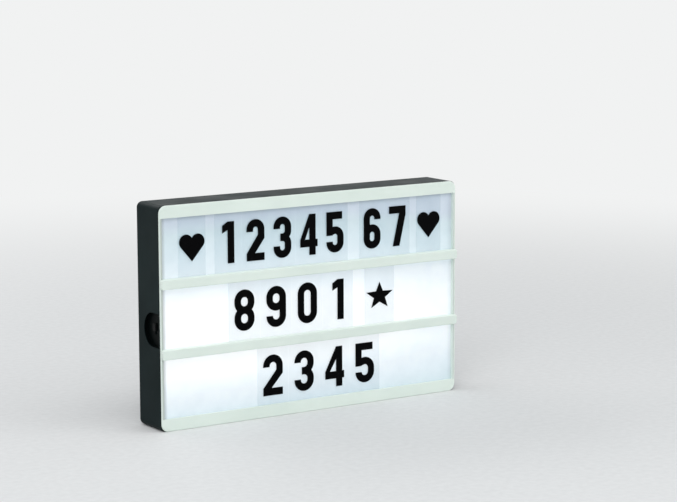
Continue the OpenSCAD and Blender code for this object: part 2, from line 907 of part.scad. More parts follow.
module reflector_sheet() {
    x = box_w / 2 - wall - reflector_side;
    notch_z = recess_r + recess_wall + gap;
    color("#f5f5f2")
        difference() {
            along_y(y_board, y_reflector)
                round_rect([-x, x], [reflector_inset, box_h - reflector_inset], reflector_r);
            block([-box_w, x_terminal + terminal_space], [y_board - cut, y_reflector + cut],
                  [switch_z - notch_z, switch_z + notch_z]);
            for (sx = [-board_screw_x, board_screw_x])
                for (sz = board_z)
                    rod_y(shank_hole_r, sx, sz, y_board - cut, y_reflector + cut);
            rod_y(LEAD_HOLE_R, LEAD_HOLE[0], LEAD_HOLE[2], y_board - cut, y_reflector + cut);
        }
}

module led_board(z) {
    color("#eef1ee")
        difference() {
            block([-board_l / 2, board_l / 2], [y_chip, y_board], [z - board_h / 2, z + board_h / 2]);
            for (x = [-board_screw_x, board_screw_x])
                rod_y(shank_hole_r, x, z, y_chip - cut, y_board + cut);
        }
}

module led_chips(z) {
    pitch = (board_l - 2 * chip_margin) / (led_count - 1);
    color("#f0e58a")
        for (i = [0 : led_count - 1])
            let (x = -board_l / 2 + chip_margin + i * pitch)
                block([x - chip_w / 2, x + chip_w / 2], [y_chip - chip_t, y_chip],
                      [z - chip_h / 2, z + chip_h / 2]);
}

module upper_led_board() {
    led_board(board_z[1]);
}

module lower_led_board() {
    led_board(board_z[0]);
}

module upper_led_chips() {
    led_chips(board_z[1]);
}

module lower_led_chips() {
    led_chips(board_z[0]);
}

// ---- batteries ----

// cells stand alternately nub up and nub down
module aa_cell(i) {
    z = bay_z + contact_t + (i % 2 == 0 ? spring_l : cell_l);
    color("#3b6ea5")
        translate([cell_x(i), y_cell, z])
            mirror([0, 0, i % 2]) {
                cylinder(r = cell_r, h = cell_body_l);
                cylinder(r = nub_r, h = cell_l);
            }
}

module contact_plate(first, last, z) {
    block([cell_x(first) - contact_half, cell_x(last) + contact_half],
          [y_cell - contact_depth / 2, y_cell + contact_depth / 2], [z, z + contact_t]);
}

module upper_contacts() {
    color("#c8c8c8")
        for (i = [0 : 2 : cell_count - 2])
            contact_plate(i, i + 1, bay_top - contact_t);
}

module lower_contacts() {
    color("#c8c8c8") {
        for (side = [0, 1])
            let (i = side * (cell_count - 1)) {
                contact_plate(i, i, bay_z);
                block(side == 0 ? [-x_tab, cell_x(i)] : [cell_x(i), x_tab],
                      [y_cell - tab_w / 2, y_cell + tab_w / 2], [bay_z, bay_z + contact_t]);
            }
        if (cell_count > 2)
            for (i = [1 : 2 : cell_count - 3])
                contact_plate(i, i + 1, bay_z);
    }
}

module battery_springs() {
    color("#d0d0d0")
        for (i = [0 : cell_count - 1])
            translate([cell_x(i), y_cell, i % 2 == 0 ? bay_z + contact_t : bay_top - contact_t])
                mirror([0, 0, i % 2])
                    coil();
}

module battery_door() {
    color("#2a2e2f") {
        difference() {
            union() {
                block([-door_x, door_x], [y_back - door_t, y_back], [hinge_z, door_top]);
                rod_x(hinge_r, y_hinge, hinge_z, -door_x, door_x);
            }
            for (side = [-1, 1])
                let (x = side * tongue_w / 2)
                    block([x - tongue_slit / 2, x + tongue_slit / 2], [y_back - door_t - cut, y_back + cut],
                          [door_top - tongue_l, door_top + cut]);
            for (k = [1 : grip_count])
                let (z = door_top - k * grip_pitch, x = tongue_w / 2 - grip_side)
                    block([-x, x], [y_back - grip_d, y_back + cut], [z - grip_h, z]);
        }
        rod_x(hinge_pin_r, y_hinge, hinge_z, -recess_x - hinge_pin_l + gap, recess_x + hinge_pin_l - gap);
        rod_x(door_t / 4, y_back - door_t / 2, door_top - door_t / 4 + gap / 2, -tongue_w / 4, tongue_w / 4);
    }
}

// ---- switch and socket ----

module switch_housing() {
    x_body = x_flange + flange_t;
    pocket_z = stem_z + switch_travel / 2 + gap;
    color("#b9bcbd")
        difference() {
            union() {
                block([x_flange, x_body], [y_switch - flange_y, y_switch + flange_y],
                      [switch_z - flange_z, switch_z + flange_z]);
                block([x_flange, x_flange + housing_x], [y_switch - housing_y, y_switch + housing_y],
                      [switch_z - housing_z, switch_z + housing_z]);
            }
            block([x_flange - cut, x_flange + stem_in + gap],
                  [y_switch - stem_y - gap, y_switch + stem_y + gap],
                  [switch_z - pocket_z, switch_z + pocket_z]);
            for (z = [switch_z - switch_screw_z, switch_z + switch_screw_z])
                rod_x(switch_shank_r + shank_fit * 3, y_switch, z, x_flange - cut, x_body + cut);
        }
}

module switch_slider() {
    x_cap = x_recess - cap_gap;
    color("#1d2021") {
        block([x_cap - cap_t / 2, x_flange + stem_in], [y_switch - stem_y, y_switch + stem_y],
              [slider_z - stem_z, slider_z + stem_z]);
        block([x_cap - cap_t, x_cap], [y_switch - cap_y, y_switch + cap_y],
              [slider_z - cap_z, slider_z + cap_z]);
        for (k = [-1, 0, 1])
            block([x_cap - cap_t - rib_t, x_cap - cap_t / 2], [y_switch - cap_y, y_switch + cap_y],
                  [slider_z + k * rib_gap - rib_h / 2, slider_z + k * rib_gap + rib_h / 2]);
    }
}

module switch_terminals() {
    color("#d8d8d8")
        for (k = [-1, 0, 1])
            let (z = switch_z + k * terminal_gap)
                block([x_terminal, x_terminal + terminal_l],
                      [y_switch - terminal_w / 2, y_switch + terminal_w / 2],
                      [z - terminal_w / 2, z + terminal_w / 2]);
}

module switch_screws() {
    x = x_flange + flange_t;
    color("#c0c0c0")
        for (z = [switch_z - switch_screw_z, switch_z + switch_screw_z]) {
            rod_x(switch_shank_r, y_switch, z, x - flange_t - switch_shank_l + gap, x);
            rod_x(switch_head_r, y_switch, z, x, x + switch_head_t);
        }
}

module supply_socket() {
    color("#202223")
        difference() {
            union() {
                block([x_socket_end, x_socket],
                      [y_socket - socket_body[1] / 2, y_socket + socket_body[1] / 2],
                      [socket_z - socket_body[2] / 2, socket_z + socket_body[2] / 2]);
                rod_x(snout_r, y_socket, socket_z, x_socket - cut, x_socket_face);
            }
            rod_x(socket_bore_r, y_socket, socket_z, x_socket_face - socket_bore_l, x_socket_face + cut);
        }
}

module socket_contacts() {
    color("#d8c27a") {
        rod_x(socket_pin_r, y_socket, socket_z, x_socket_face - socket_bore_l, x_socket_face - socket_pin_in);
        for (z = socket_tabs)
            block([x_socket_end - terminal_l, x_socket_end],
                  [y_socket - terminal_w / 2, y_socket + terminal_w / 2],
                  [socket_z + z - terminal_w / 2, socket_z + z + terminal_w / 2]);
    }
}

// ---- screws ----

module case_screws() {
    color("#b0b3b5")
        for (x = boss_x)
            for (z = boss_z)
                screw_y(x, z, y_boss + shelf_t, shank_r, case_screw_l, head_r, head_t);
}

// these come from the front, with their heads on the LED boards
module board_screws() {
    color("#b0b3b5")
        for (x = [-board_screw_x, board_screw_x])
            for (z = board_z)
                translate([0, y_chip, 0])
                    mirror([0, 1, 0])
                        screw_y(x, z, 0, board_shank_r, board_screw_l, head_r, board_head_t);
}

// ---- leads ----

module battery_lead() {
    color("#b3262a") lead(BATTERY_LEAD);
}

module switch_lead() {
    color("#b3262a") lead(SWITCH_LEAD);
}

module board_lead() {
    color("#1b1b1b") lead(BOARD_LEAD);
}

module return_lead() {
    color("#1b1b1b") lead(RETURN_LEAD);
}

module socket_lead() {
    color("#1b1b1b") lead(SOCKET_LEAD);
}

// ---- tiles ----

module tile(group, k) {
    x = slot_x(group, k);
    reach = groove - tile_clear;
    z = row_z(group[1]);
    color("#d6dbe8", 0.6)
        block([x - group[3] / 2, x + group[3] / 2], [y_tile, y_tile + tile_t],
              [z - reach, z + row_h + reach]);
}

module group_print(group) {
    color("#101112")
        for (k = [0 : len(group[5]) - 1])
            let (code = group[5][k])
                translate([slot_x(group, k), 0, figure_z(group[1], code)])
                    along_y(y_tile - print_t, y_tile)
                        figure(code, group[4]);
}

rear_case();
front_frame();
upper_rail();
lower_rail();
diffuser_panel();
reflector_sheet();
upper_led_board();
lower_led_board();
upper_led_chips();
lower_led_chips();
battery_door();
upper_contacts();
lower_contacts();
battery_springs();
switch_housing();
switch_slider();
switch_terminals();
switch_screws();
supply_socket();
socket_contacts();
case_screws();
board_screws();
battery_lead();
switch_lead();
board_lead();
return_lead();
socket_lead();
for (i = [0 : cell_count - 1])
    aa_cell(i);
for (g = GROUPS)
    for (k = [0 : len(g[5]) - 1])
        tile(g, k);
for (g = GROUPS)
    group_print(g);
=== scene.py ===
# %% [markdown]
# # A lit letter box, dressed for its picture
# The box stands on a table: a black moulded case, a white moulding in front of it, and between the two an
# opal panel that two rows of LEDs light from behind. Tiles of clear film stand in three grooved rows.
# The construction comes from the frame, which holds every piece at its real size. This file adds what the
# eye needs: how each plastic, metal and film takes light, the light that the box gives, and a plain studio.

import json
import math

import bpy
from mathutils import Matrix, Vector


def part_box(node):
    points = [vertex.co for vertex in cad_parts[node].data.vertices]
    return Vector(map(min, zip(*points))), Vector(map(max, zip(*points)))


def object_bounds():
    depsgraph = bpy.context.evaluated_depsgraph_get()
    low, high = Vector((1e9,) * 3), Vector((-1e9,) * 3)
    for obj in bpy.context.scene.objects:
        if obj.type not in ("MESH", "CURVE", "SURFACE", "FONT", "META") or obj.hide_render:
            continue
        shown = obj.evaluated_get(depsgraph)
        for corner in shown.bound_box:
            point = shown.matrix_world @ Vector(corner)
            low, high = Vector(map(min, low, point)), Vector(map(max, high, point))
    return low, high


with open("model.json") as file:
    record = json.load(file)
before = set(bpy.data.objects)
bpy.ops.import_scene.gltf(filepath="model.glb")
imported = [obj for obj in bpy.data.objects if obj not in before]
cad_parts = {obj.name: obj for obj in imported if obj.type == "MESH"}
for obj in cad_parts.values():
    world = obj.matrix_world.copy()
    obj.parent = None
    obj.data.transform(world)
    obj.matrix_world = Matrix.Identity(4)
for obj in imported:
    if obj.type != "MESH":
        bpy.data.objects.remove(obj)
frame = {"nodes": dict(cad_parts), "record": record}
NODES = frame["nodes"]
MM = 0.001
cad_low, cad_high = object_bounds()
cad_size = cad_high - cad_low
print("box of the frame, mm:", [round(v / MM, 1) for v in cad_size])

# %% [markdown]
# ## Small helpers
# Every finish below is a tree of shader nodes. Such a tree could be drawn with the mouse, but a written one
# can be read, measured and changed in one place. `add` puts in a node of any kind, with its settings, and
# `wire` fills its sockets: a socket that gets another node, or one of its outputs, is linked, and any other
# value is typed in. A node that is given as it is stands for its first output, nearly always the one that is
# wanted. Colours are written as sRGB hex values, as a paint card gives them, and turned to the linear values
# that the renderer works in. `new_finish` starts a material: its main shader, and the place of each point on
# the object in metres. `mottled` draws the faint patches that every real surface has.

# %% Helpers for colour and nodes
NOISE_LOW, NOISE_HIGH = 0.3, 0.7  # the values of a noise texture hardly ever lie outside these two


def linear(hex_colour):
    """The linear RGBA of an sRGB colour such as "#e2e9e0"."""
    parts = [int(hex_colour[i:i + 2], 16) / 255 for i in (1, 3, 5)]
    return [c / 12.92 if c <= 0.04045 else ((c + 0.055) / 1.055) ** 2.4 for c in parts] + [1.0]


def wire(tree, node, sockets):
    """Link each named socket to a node or to one of its outputs, or type its value in."""
    for name, value in sockets.items():
        if isinstance(value, bpy.types.Node):
            value = value.outputs[0]
        if isinstance(value, bpy.types.NodeSocket):
            tree.links.new(value, node.inputs[name])
        else:
            node.inputs[name].default_value = value


def add(tree, kind, settings=None, sockets=None, stops=()):
    """One node of that kind: its settings, its sockets, and a colour ramp's (place, hex colour) stops."""
    node = tree.nodes.new("ShaderNode" + kind)
    for name, value in (settings or {}).items():
        setattr(node, name, value)
    wire(tree, node, sockets or {})
    if stops:
        elements = node.color_ramp.elements
        while len(elements) < len(stops):
            elements.new(1.0)
        for element, (place, colour) in zip(elements, stops):
            element.position = place
            element.color = linear(colour)
    return node


def new_finish(name, **numbers):
    """A material with a Principled shader, whose sockets get the numbers, and each point's place on it."""
    material = bpy.data.materials.new(name)
    material.use_nodes = True
    tree = material.node_tree
    tree.nodes.clear()
    shader = add(tree, "BsdfPrincipled", sockets={key.replace("_", " "): v for key, v in numbers.items()})
    add(tree, "OutputMaterial", sockets={"Surface": shader})
    coords = add(tree, "TexCoord").outputs["Object"]
    return material, tree, shader, coords


def mottled(tree, coords, size_mm, deep, pale, detail):
    """Patches of about one size: the noise that draws them, and their colour between two tones."""
    noise = add(tree, "TexNoise", sockets={"Vector": coords, "Scale": 1 / (size_mm * MM), "Detail": detail})
    tone = add(tree, "ValToRGB", sockets={"Fac": noise}, stops=[(NOISE_LOW, deep), (NOISE_HIGH, pale)])
    return noise, tone


print("a mid grey of #808080 is", round(linear("#808080")[0], 3), "in linear light")

# %% [markdown]
# ## The camera
# The picture was taken a little from the left and from above, with a long lens from about two metres, so
# that the upright edges stay nearly parallel. A camera is placed by two directions and one known point: the
# middle of the back's lower edge, which lies at a known place of the picture. Working back from that point
# puts the camera where it stood, without any shift of the lens. It could also be moved by hand until the
# picture fits, but then each change of the lens would start the search again.

# %% Camera
PICTURE_W, PICTURE_H = 677, 502
FOCAL_PX = 2290.8
AZIMUTH, ELEVATION, ROLL = math.radians(-33.03), math.radians(8.83), math.radians(-0.2)
DISTANCE = 2.0185
SENSOR_MM = 36.0
ANCHOR = Vector((0, cad_high.y, 0))
ANCHOR_PX = (290.1, 402.2)

backward = Vector((
    math.sin(AZIMUTH) * math.cos(ELEVATION),
    -math.cos(AZIMUTH) * math.cos(ELEVATION),
    math.sin(ELEVATION),
))
level_right = Vector((math.cos(AZIMUTH), math.sin(AZIMUTH), 0))
level_up = backward.cross(level_right)
right = math.cos(ROLL) * level_right + math.sin(ROLL) * level_up
up = math.cos(ROLL) * level_up - math.sin(ROLL) * level_right

per_pixel = DISTANCE / FOCAL_PX
right_of_centre = (ANCHOR_PX[0] - PICTURE_W / 2) * per_pixel
above_centre = (PICTURE_H / 2 - ANCHOR_PX[1]) * per_pixel
place = ANCHOR + DISTANCE * backward - right_of_centre * right - above_centre * up

camera_data = bpy.data.cameras.new("camera")
camera_data.sensor_width = SENSOR_MM
camera_data.lens = FOCAL_PX * SENSOR_MM / PICTURE_W
camera = bpy.data.objects.new("camera", camera_data)
bpy.context.scene.collection.objects.link(camera)
camera.matrix_world = Matrix((right, up, backward)).transposed().to_4x4()
camera.matrix_world.translation = place
bpy.context.scene.camera = camera
bpy.context.scene.view_settings.view_transform = "Standard"
print("lens", round(camera_data.lens, 1), "mm, camera at", [round(v, 3) for v in place])

# %% [markdown]
# ## Moulded plastics
# The case, the front moulding and the small black parts are injection-moulded ABS. Two places of them are
# darker in the picture than shape and light alone make them here. The switch's recess is nearly black there,
# because the room in the picture is dark and this studio is pale. The inner part of each stile is a shade
# darker than the rest, perhaps for a step too fine to see. Neither reason can be measured, so both tones are
# matched one by one. Each such face could get a material of its own, but it belongs to the same solid as its
# neighbours. So a box of space marks it instead, and the colour is turned down inside the box as a painted
# shade.

# %% Painted shade on the mouldings
def inside_box(tree, coords, low, high):
    """1 inside the box from low to high, and 0 outside it."""
    split = add(tree, "SeparateXYZ", sockets={0: coords})
    inside = 1.0
    for axis, start, end in zip("XYZ", low, high):
        within = add(tree, "Math", {"operation": "COMPARE"}, {
            0: split.outputs[axis], 1: (start + end) / 2, 2: (end - start) / 2})
        inside = add(tree, "Math", {"operation": "MULTIPLY"}, {0: within, 1: inside})
    return inside


def painted_shade_inside(tree, coords, tone, low, high, left_over):
    """The tone with a painted shade: only a share of it is left over inside the box from low to high."""
    share = add(tree, "MapRange", sockets={
        "Value": inside_box(tree, coords, low, high), "To Min": 1.0, "To Max": left_over})
    return add(tree, "VectorMath", {"operation": "SCALE"}, {"Vector": tone, "Scale": share})


# The switch's recess gets a painted shade. It is 14.5 mm in radius and 3.5 mm deep. Its box starts a thin
# skin inside the side of the case, so that the side keeps its tone, and takes in the recess's wall and floor
# by the same skin.
RECESS_R_MM = 14.5
RECESS_D_MM = 3.5
RECESS_SHADE_SHARE = 0.2
SKIN_MM = 0.4
switch_low, switch_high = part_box("switch_housing")
switch_middle = (switch_low + switch_high) / 2
recess_reach = (RECESS_R_MM + SKIN_MM) * MM
recess_middle = Vector((cad_low.x + (RECESS_D_MM / 2 + SKIN_MM) * MM, switch_middle.y, switch_middle.z))
recess_half = Vector((RECESS_D_MM / 2 * MM, recess_reach, recess_reach))
recess_painted_shade = (recess_middle - recess_half, recess_middle + recess_half, RECESS_SHADE_SHARE)

# Painted shade: the inner strip of each stile keeps only a share of the white's colour, less on the left.
# The frame's stiles are 2.5 mm wide, and their inner 1.5 mm is the darker strip. In the picture the left one
# (side -1) is darker than the right one (side 1). The box takes in the front face and 1 mm behind it.
BAND_MM = 10.6
STILE_MM = 2.5
STRIP_MM = 1.5
STILE_SHADE_SHARES = {-1: 0.66, 1: 0.8}
BEFORE_FACE_MM, BEHIND_FACE_MM = 0.1, 1.0
frame_low, frame_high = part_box("front_frame")
stiles = []
for side, stile_shade_share in STILE_SHADE_SHARES.items():
    inner_edge = side * (frame_high.x - STILE_MM * MM)
    outer_edge = inner_edge + side * STRIP_MM * MM
    stiles.append((
        (min(inner_edge, outer_edge), frame_low.y - BEFORE_FACE_MM * MM, frame_low.z + BAND_MM * MM),
        (max(inner_edge, outer_edge), frame_low.y + BEHIND_FACE_MM * MM, frame_high.z - BAND_MM * MM),
        stile_shade_share))
print("darker places: the recess and", len(stiles), "stiles")

# %% [markdown]
# The steel mould leaves a fine grain from spark erosion, which breaks the reflection into a soft satin sheen.
# Real grain is about 0.1 mm, too fine for one pixel of the picture, so it is drawn several times as coarse.
# Two slower patterns go with it: a faint cloudiness of the colour where the melt flowed, and patches that
# hands have polished. All three could come from photographs of plastic, but those have to be wrapped round
# each piece. Noise that is measured in the object's own space needs no wrapping and keeps its size in
# millimetres on every face. The Bevel node rounds the shading of sharp edges by a few tenths of a
# millimetre, as every moulded edge is.

# %% A function for moulded ABS
FLOW_MM = 45
HANDLING_MM = 30
POLISH_SPREAD = 0.06


def moulded_abs(name, deep, pale, roughness, grain_mm, grain_depth_mm, edge_mm, darker=(), **numbers):
    """A moulded plastic whose colour drifts between two tones, with painted shade in the boxes it is given, a
    mould grain and soft edges.
    """
    material, tree, shader, coords = new_finish(name, IOR=1.54, **numbers)
    _, tone = mottled(tree, coords, FLOW_MM, deep, pale, detail=3.0)
    for low, high, left_over in darker:
        tone = painted_shade_inside(tree, coords, tone, low, high, left_over)
    touch = add(tree, "TexNoise", sockets={"Vector": coords, "Scale": 1 / (HANDLING_MM * MM), "Detail": 5.0})
    polish = add(tree, "MapRange", sockets={
        "Value": touch, "From Min": NOISE_LOW, "From Max": NOISE_HIGH,
        "To Min": roughness - POLISH_SPREAD, "To Max": roughness + POLISH_SPREAD})
    soft_edge = add(tree, "Bevel", {"samples": 6}, {"Radius": edge_mm * MM})
    grain = add(tree, "TexNoise", sockets={"Vector": coords, "Scale": 1 / (grain_mm * MM), "Detail": 2.0})
    bump = add(tree, "Bump", sockets={
        "Height": grain, "Distance": grain_depth_mm * MM, "Strength": 1.0, "Normal": soft_edge})
    wire(tree, shader, {"Base Color": tone, "Roughness": polish, "Normal": bump})
    return material


print("ABS: colour drifts over", FLOW_MM, "mm and polish over", HANDLING_MM, "mm")

# %% The black and the white mouldings
# Black ABS with a satin mould grain: nearly black where it faces the lights, grey where it is seen at a
# flat angle, because the reflection grows there. A real one has a specular level of about 0.5. Under this
# pale backdrop that lays a grey veil over the black, which the dark room of the picture doesn't, so the
# level is turned far down to match the picture. Glossier surroundings would want the real value back.
# Inside the switch's recess this black is turned down as a painted shade.
black_abs = moulded_abs(
    "black_abs_satin", "#121d1e", "#1b2728", roughness=0.42, grain_mm=0.7, grain_depth_mm=0.012,
    edge_mm=0.35, darker=[recess_painted_shade], Specular_IOR_Level=0.03)

# The switch's cap is the same plastic from a rougher mould, with its specular level turned down as well.
black_cap = moulded_abs(
    "black_abs_matt", "#0c0e0f", "#131516", roughness=0.55, grain_mm=0.5, grain_depth_mm=0.02,
    edge_mm=0.2, Specular_IOR_Level=0.1)

# White ABS is never quite white: a trace of blue-green pigment hides the yellow of the polymer. A little
# light runs under its surface, which softens the edges beside the lit panel.
# The inner strip of each stile gets a painted shade.
white_abs = moulded_abs(
    "white_abs_satin", "#dfebe3", "#e6f1e9", roughness=0.42, grain_mm=0.9, grain_depth_mm=0.008,
    edge_mm=0.4, darker=stiles,
    Subsurface_Weight=0.12, Subsurface_Scale=1.5 * MM, Subsurface_Radius=(1.0, 1.0, 0.9))
print("three ABS finishes, grain drawn at 0.5 to 0.9 mm")

# %% [markdown]
# ## The opal panel and its light
# The panel is opal polystyrene: milky all through, so that it spreads the light of the LEDs and hides them.
# It could be lit by real lamps behind a translucent sheet, but that takes very many samples and hides what
# is going on. Here the sheet itself glows, by a rule like the one that real light follows: each row of LEDs
# adds a glow that falls off with the distance from it, and where the light is thin it looks bluer. How far
# the glow reaches, how strong it is and the colours of its ramp are matched to the picture.

# %% Light from the LED rows
GLOW_REACH_MM = 60.0
GLOW_DIM, GLOW_FULL = 0.60, 1.70
GLOW_COLOURS = [
    (0.02, "#9caabc"), (0.12, "#a3bbc1"), (0.24, "#b3c9d0"), (0.37, "#bdd0d7"),
    (0.5, "#ccdae1"), (0.72, "#e0e7eb"), (0.9, "#f3f9fd"), (1.0, "#ffffff")]
PANEL_LIGHT = 0.64
ROW_POWERS = {"upper_led_board": 0.99, "lower_led_board": 1.19}
FAR_END_MM, FAR_END_SHARE = (20.0, 147.0), 0.82  # the panel in the picture is dimmer towards the right


def row_glow(tree, height, board, power):
    """The light that one row of LEDs gives at a height: its power in front of it, less on both sides."""
    low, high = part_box(board)
    away = add(tree, "Math", {"operation": "SUBTRACT"}, {0: height, 1: (low.z + high.z) / 2})
    share = add(tree, "Math", {"operation": "DIVIDE"}, {0: away, 1: GLOW_REACH_MM * MM})
    spread = add(tree, "Math", {"operation": "MULTIPLY_ADD"}, {0: share, 1: share, 2: 1.0})
    return add(tree, "Math", {"operation": "DIVIDE"}, {0: power, 1: spread})


opal_panel, tree, shader, coords = new_finish(
    "opal_polystyrene", IOR=1.59, Roughness=0.45, Emission_Strength=PANEL_LIGHT)
split = add(tree, "SeparateXYZ", sockets={0: coords})
upper_glow, lower_glow = [
    row_glow(tree, split.outputs["Z"], board, power) for board, power in ROW_POWERS.items()]
glow = add(tree, "Math", {"operation": "ADD"}, {0: upper_glow, 1: lower_glow})
along_rows = add(tree, "MapRange", sockets={
    "Value": split.outputs["X"], "From Min": FAR_END_MM[0] * MM, "From Max": FAR_END_MM[1] * MM,
    "To Min": 1.0, "To Max": FAR_END_SHARE})
glow = add(tree, "Math", {"operation": "MULTIPLY"}, {0: glow, 1: along_rows})
strength = add(tree, "MapRange", sockets={"Value": glow, "From Min": GLOW_DIM, "From Max": GLOW_FULL})
colour = add(tree, "ValToRGB", sockets={"Fac": strength}, stops=GLOW_COLOURS)

# %% [markdown]
# The frame and the rails stand in front of the panel and keep the room's light from it, most of all along
# the upper edge of each row and the left edge, which lie away from the lamps. Each row's upper edge is shaded
# on both sides of a line behind the band or the rail above it, and the band or rail hides the upper half of
# the shade. A renderer's shadows fall only on light that comes from outside, and the panel's own glow fills
# them, so this shade is drawn into the glow. Its width and depth are matched to the picture.

# %% Shade of the frame and the rails
UNDER_EDGE_MM = 2.0
UNDER_BAND = (4.5, 0.66)  # how far the shade reaches, in mm, and the share of the light left in it
UNDER_RAIL = (1.4, 0.93)
LEFT_SHADE = (2.0, 5.0, 0.45)  # where the shade starts to fade and where it ends, in mm, and the share left
RIGHT_SHADE = (0.0, 5.0, 0.85)
MILK_MM = 12


def shade(tree, distance, start_mm, end_mm, darkest):
    """The share of the light that is left at a distance from an edge."""
    return add(tree, "MapRange", {"interpolation_type": "SMOOTHSTEP"}, {
        "Value": distance, "From Min": start_mm * MM, "From Max": end_mm * MM, "To Min": darkest})


row_tops = [
    (cad_high.z - BAND_MM * MM, UNDER_BAND),
    (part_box("upper_rail")[0].z, UNDER_RAIL),
    (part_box("lower_rail")[0].z, UNDER_RAIL)]
panel_side = cad_high.x - STILE_MM * MM
from_left = add(tree, "Math", {"operation": "ADD"}, {0: split.outputs["X"], 1: panel_side})
from_right = add(tree, "Math", {"operation": "SUBTRACT"}, {0: panel_side, 1: split.outputs["X"]})
left_over = add(tree, "Math", {"operation": "MULTIPLY"}, {
    0: shade(tree, from_left, *LEFT_SHADE), 1: shade(tree, from_right, *RIGHT_SHADE)})
for top, (reach_mm, darkest) in row_tops:
    above = add(tree, "Math", {"operation": "SUBTRACT"}, {0: split.outputs["Z"], 1: top + UNDER_EDGE_MM * MM})
    away = add(tree, "Math", {"operation": "ABSOLUTE"}, {0: above})
    under = shade(tree, away, UNDER_EDGE_MM, UNDER_EDGE_MM + reach_mm, darkest)
    left_over = add(tree, "Math", {"operation": "MULTIPLY"}, {0: left_over, 1: under})
shaded = add(tree, "VectorMath", {"operation": "SCALE"}, {"Vector": colour, "Scale": left_over})
_, milk = mottled(tree, coords, MILK_MM, "#a6adb2", "#b0b6ba", detail=2.0)
wire(tree, shader, {"Base Color": milk, "Emission Color": shaded})
print("shaded edges of the panel:", len(row_tops) + 2)

# %% [markdown]
# ## Film tiles and their ink
# A tile is PET film half a millimetre thick, clear with a faint blue-grey tint and a fine matt side against
# glare. The shader's alpha lets the panel's light through. Film has two faces and light passes both, so each
# takes only a few per cent. Glass that bends the light would serve too, but so thin a sheet hardly bends it,
# and each face of glass takes many more samples. The figures are screen-printed with a dense black ink,
# which dries to a dull sheen, and its specular level is turned down as the black plastic's is. The screen's
# mesh leaves marks of about 0.1 mm, drawn several times as coarse.

# %% Film and ink
FILM_HIDES = 0.058
HAZE_MM = 20
MATT_MM, MATT_DEPTH_MM = 0.8, 0.003
MESH_MM = 0.6
INK_ROUGHNESS = (0.38, 0.52)

clear_film, tree, shader, coords = new_finish("pet_film", IOR=1.575, Alpha=FILM_HIDES, Roughness=0.3)
_, tint = mottled(tree, coords, HAZE_MM, "#6f9fb2", "#7babbd", detail=2.0)
matt_side = add(tree, "TexNoise", sockets={"Vector": coords, "Scale": 1 / (MATT_MM * MM), "Detail": 2.0})
bump = add(tree, "Bump", sockets={"Height": matt_side, "Distance": MATT_DEPTH_MM * MM})
wire(tree, shader, {"Base Color": tint, "Normal": bump})

black_ink, tree, shader, coords = new_finish("screen_ink", IOR=1.5, Specular_IOR_Level=0.03)
mesh_marks, tone = mottled(tree, coords, MESH_MM, "#020203", "#050506", detail=3.0)
dry = add(tree, "MapRange", sockets={
    "Value": mesh_marks, "To Min": INK_ROUGHNESS[0], "To Max": INK_ROUGHNESS[1]})
wire(tree, shader, {"Base Color": tone, "Roughness": dry})
print("film hides", FILM_HIDES, "of the light at each of its two faces")

# %% [markdown]
# ## Metals
# Springs, contact plates and screws are steel with a bright nickel or zinc coat, and the switch's can is
# tinned sheet round a core of dark phenolic board, which shows in the slot beside the slider. A metal's
# colour is the colour of its reflection, and its character comes from how it was worked: drawn and rolled
# metal has fine lines along one direction. The lines are noise that is stretched along the working
# direction, which roughens the reflection across them. The shader's anisotropy would draw the same sheen,
# but it needs a direction laid over every mesh, which is a lot for pieces as small as these.

# %% A function for worked metal
PHENOLIC = "#17110e"
DULL_SPREAD = 0.08
LINE_DEPTH_MM = 0.004


def worked_metal(name, deep, pale, roughness, line_mm, stretch, core=None):
    """A metal with fine lines, long along the axis whose stretch is small, round a core of phenolic board."""
    material, tree, shader, coords = new_finish(name, Metallic=1.0)
    drawn = add(tree, "Mapping", sockets={"Vector": coords, "Scale": stretch})
    lines, tone = mottled(tree, drawn, line_mm, deep, pale, detail=4.0)
    if core:
        inside = inside_box(tree, coords, *core)
        mixed = add(tree, "Mix", {"data_type": "RGBA"}, {"Factor": inside, 6: tone, 7: linear(PHENOLIC)})
        tone = mixed.outputs[2]  # a Mix node's sockets 6, 7 and 2 are the ones for colours
        metal = add(tree, "Math", {"operation": "SUBTRACT"}, {0: 1.0, 1: inside})
        wire(tree, shader, {"Metallic": metal})
    dull = add(tree, "MapRange", sockets={
        "Value": lines, "To Min": roughness - DULL_SPREAD, "To Max": roughness + DULL_SPREAD})
    bump = add(tree, "Bump", sockets={"Height": lines, "Distance": LINE_DEPTH_MM * MM})
    wire(tree, shader, {"Base Color": tone, "Roughness": dull, "Normal": bump})
    return material


# The core shows through the slot that the slider's stem runs in: 2.8 mm deep, 3.2 mm wide and 8.6 mm high.
SLOT_MM = (2.8, 3.2, 8.6)
SLOT_MARGIN_MM = 0.05
slot_reach = Vector([(size / 2 + SLOT_MARGIN_MM) * MM for size in SLOT_MM])
slot_middle = Vector((switch_low.x + SLOT_MM[0] / 2 * MM, switch_middle.y, switch_middle.z))
phenolic_core = (slot_middle - slot_reach, slot_middle + slot_reach)

# Nickel plate is slightly warm, tinned sheet is a cooler grey, and tinned brass keeps some of its yellow.
nickel_steel = worked_metal(
    "nickel_plated_steel", "#b9b6ae", "#d2cfc8", roughness=0.26, line_mm=0.5, stretch=(0.2, 1.0, 1.0))
tinned_sheet = worked_metal(
    "tinned_steel_sheet", "#a9acad", "#bfc2c3", roughness=0.34, line_mm=0.6, stretch=(1.0, 1.0, 0.1),
    core=phenolic_core)
tinned_brass = worked_metal(
    "tinned_brass", "#c9b67c", "#dccb95", roughness=0.3, line_mm=0.4, stretch=(1.0, 1.0, 0.3))
print("three metals; slot of the switch, mm:", SLOT_MM)

# %% [markdown]
# ## What lies behind the panel
# These pieces show when the model is taken apart or cut open. The reflector is white polyester sheet. The
# LED boards are aluminium-backed with a white solder mask, and thin copper tracks raise it along the board.
# Each LED is a white case with a yellow spot of phosphor in its middle. The spot could be a disc of its own
# on every chip. Here the shader works out how far a point lies from the middle of the nearest chip, so that
# one finish serves a whole row. The leads are soft PVC.

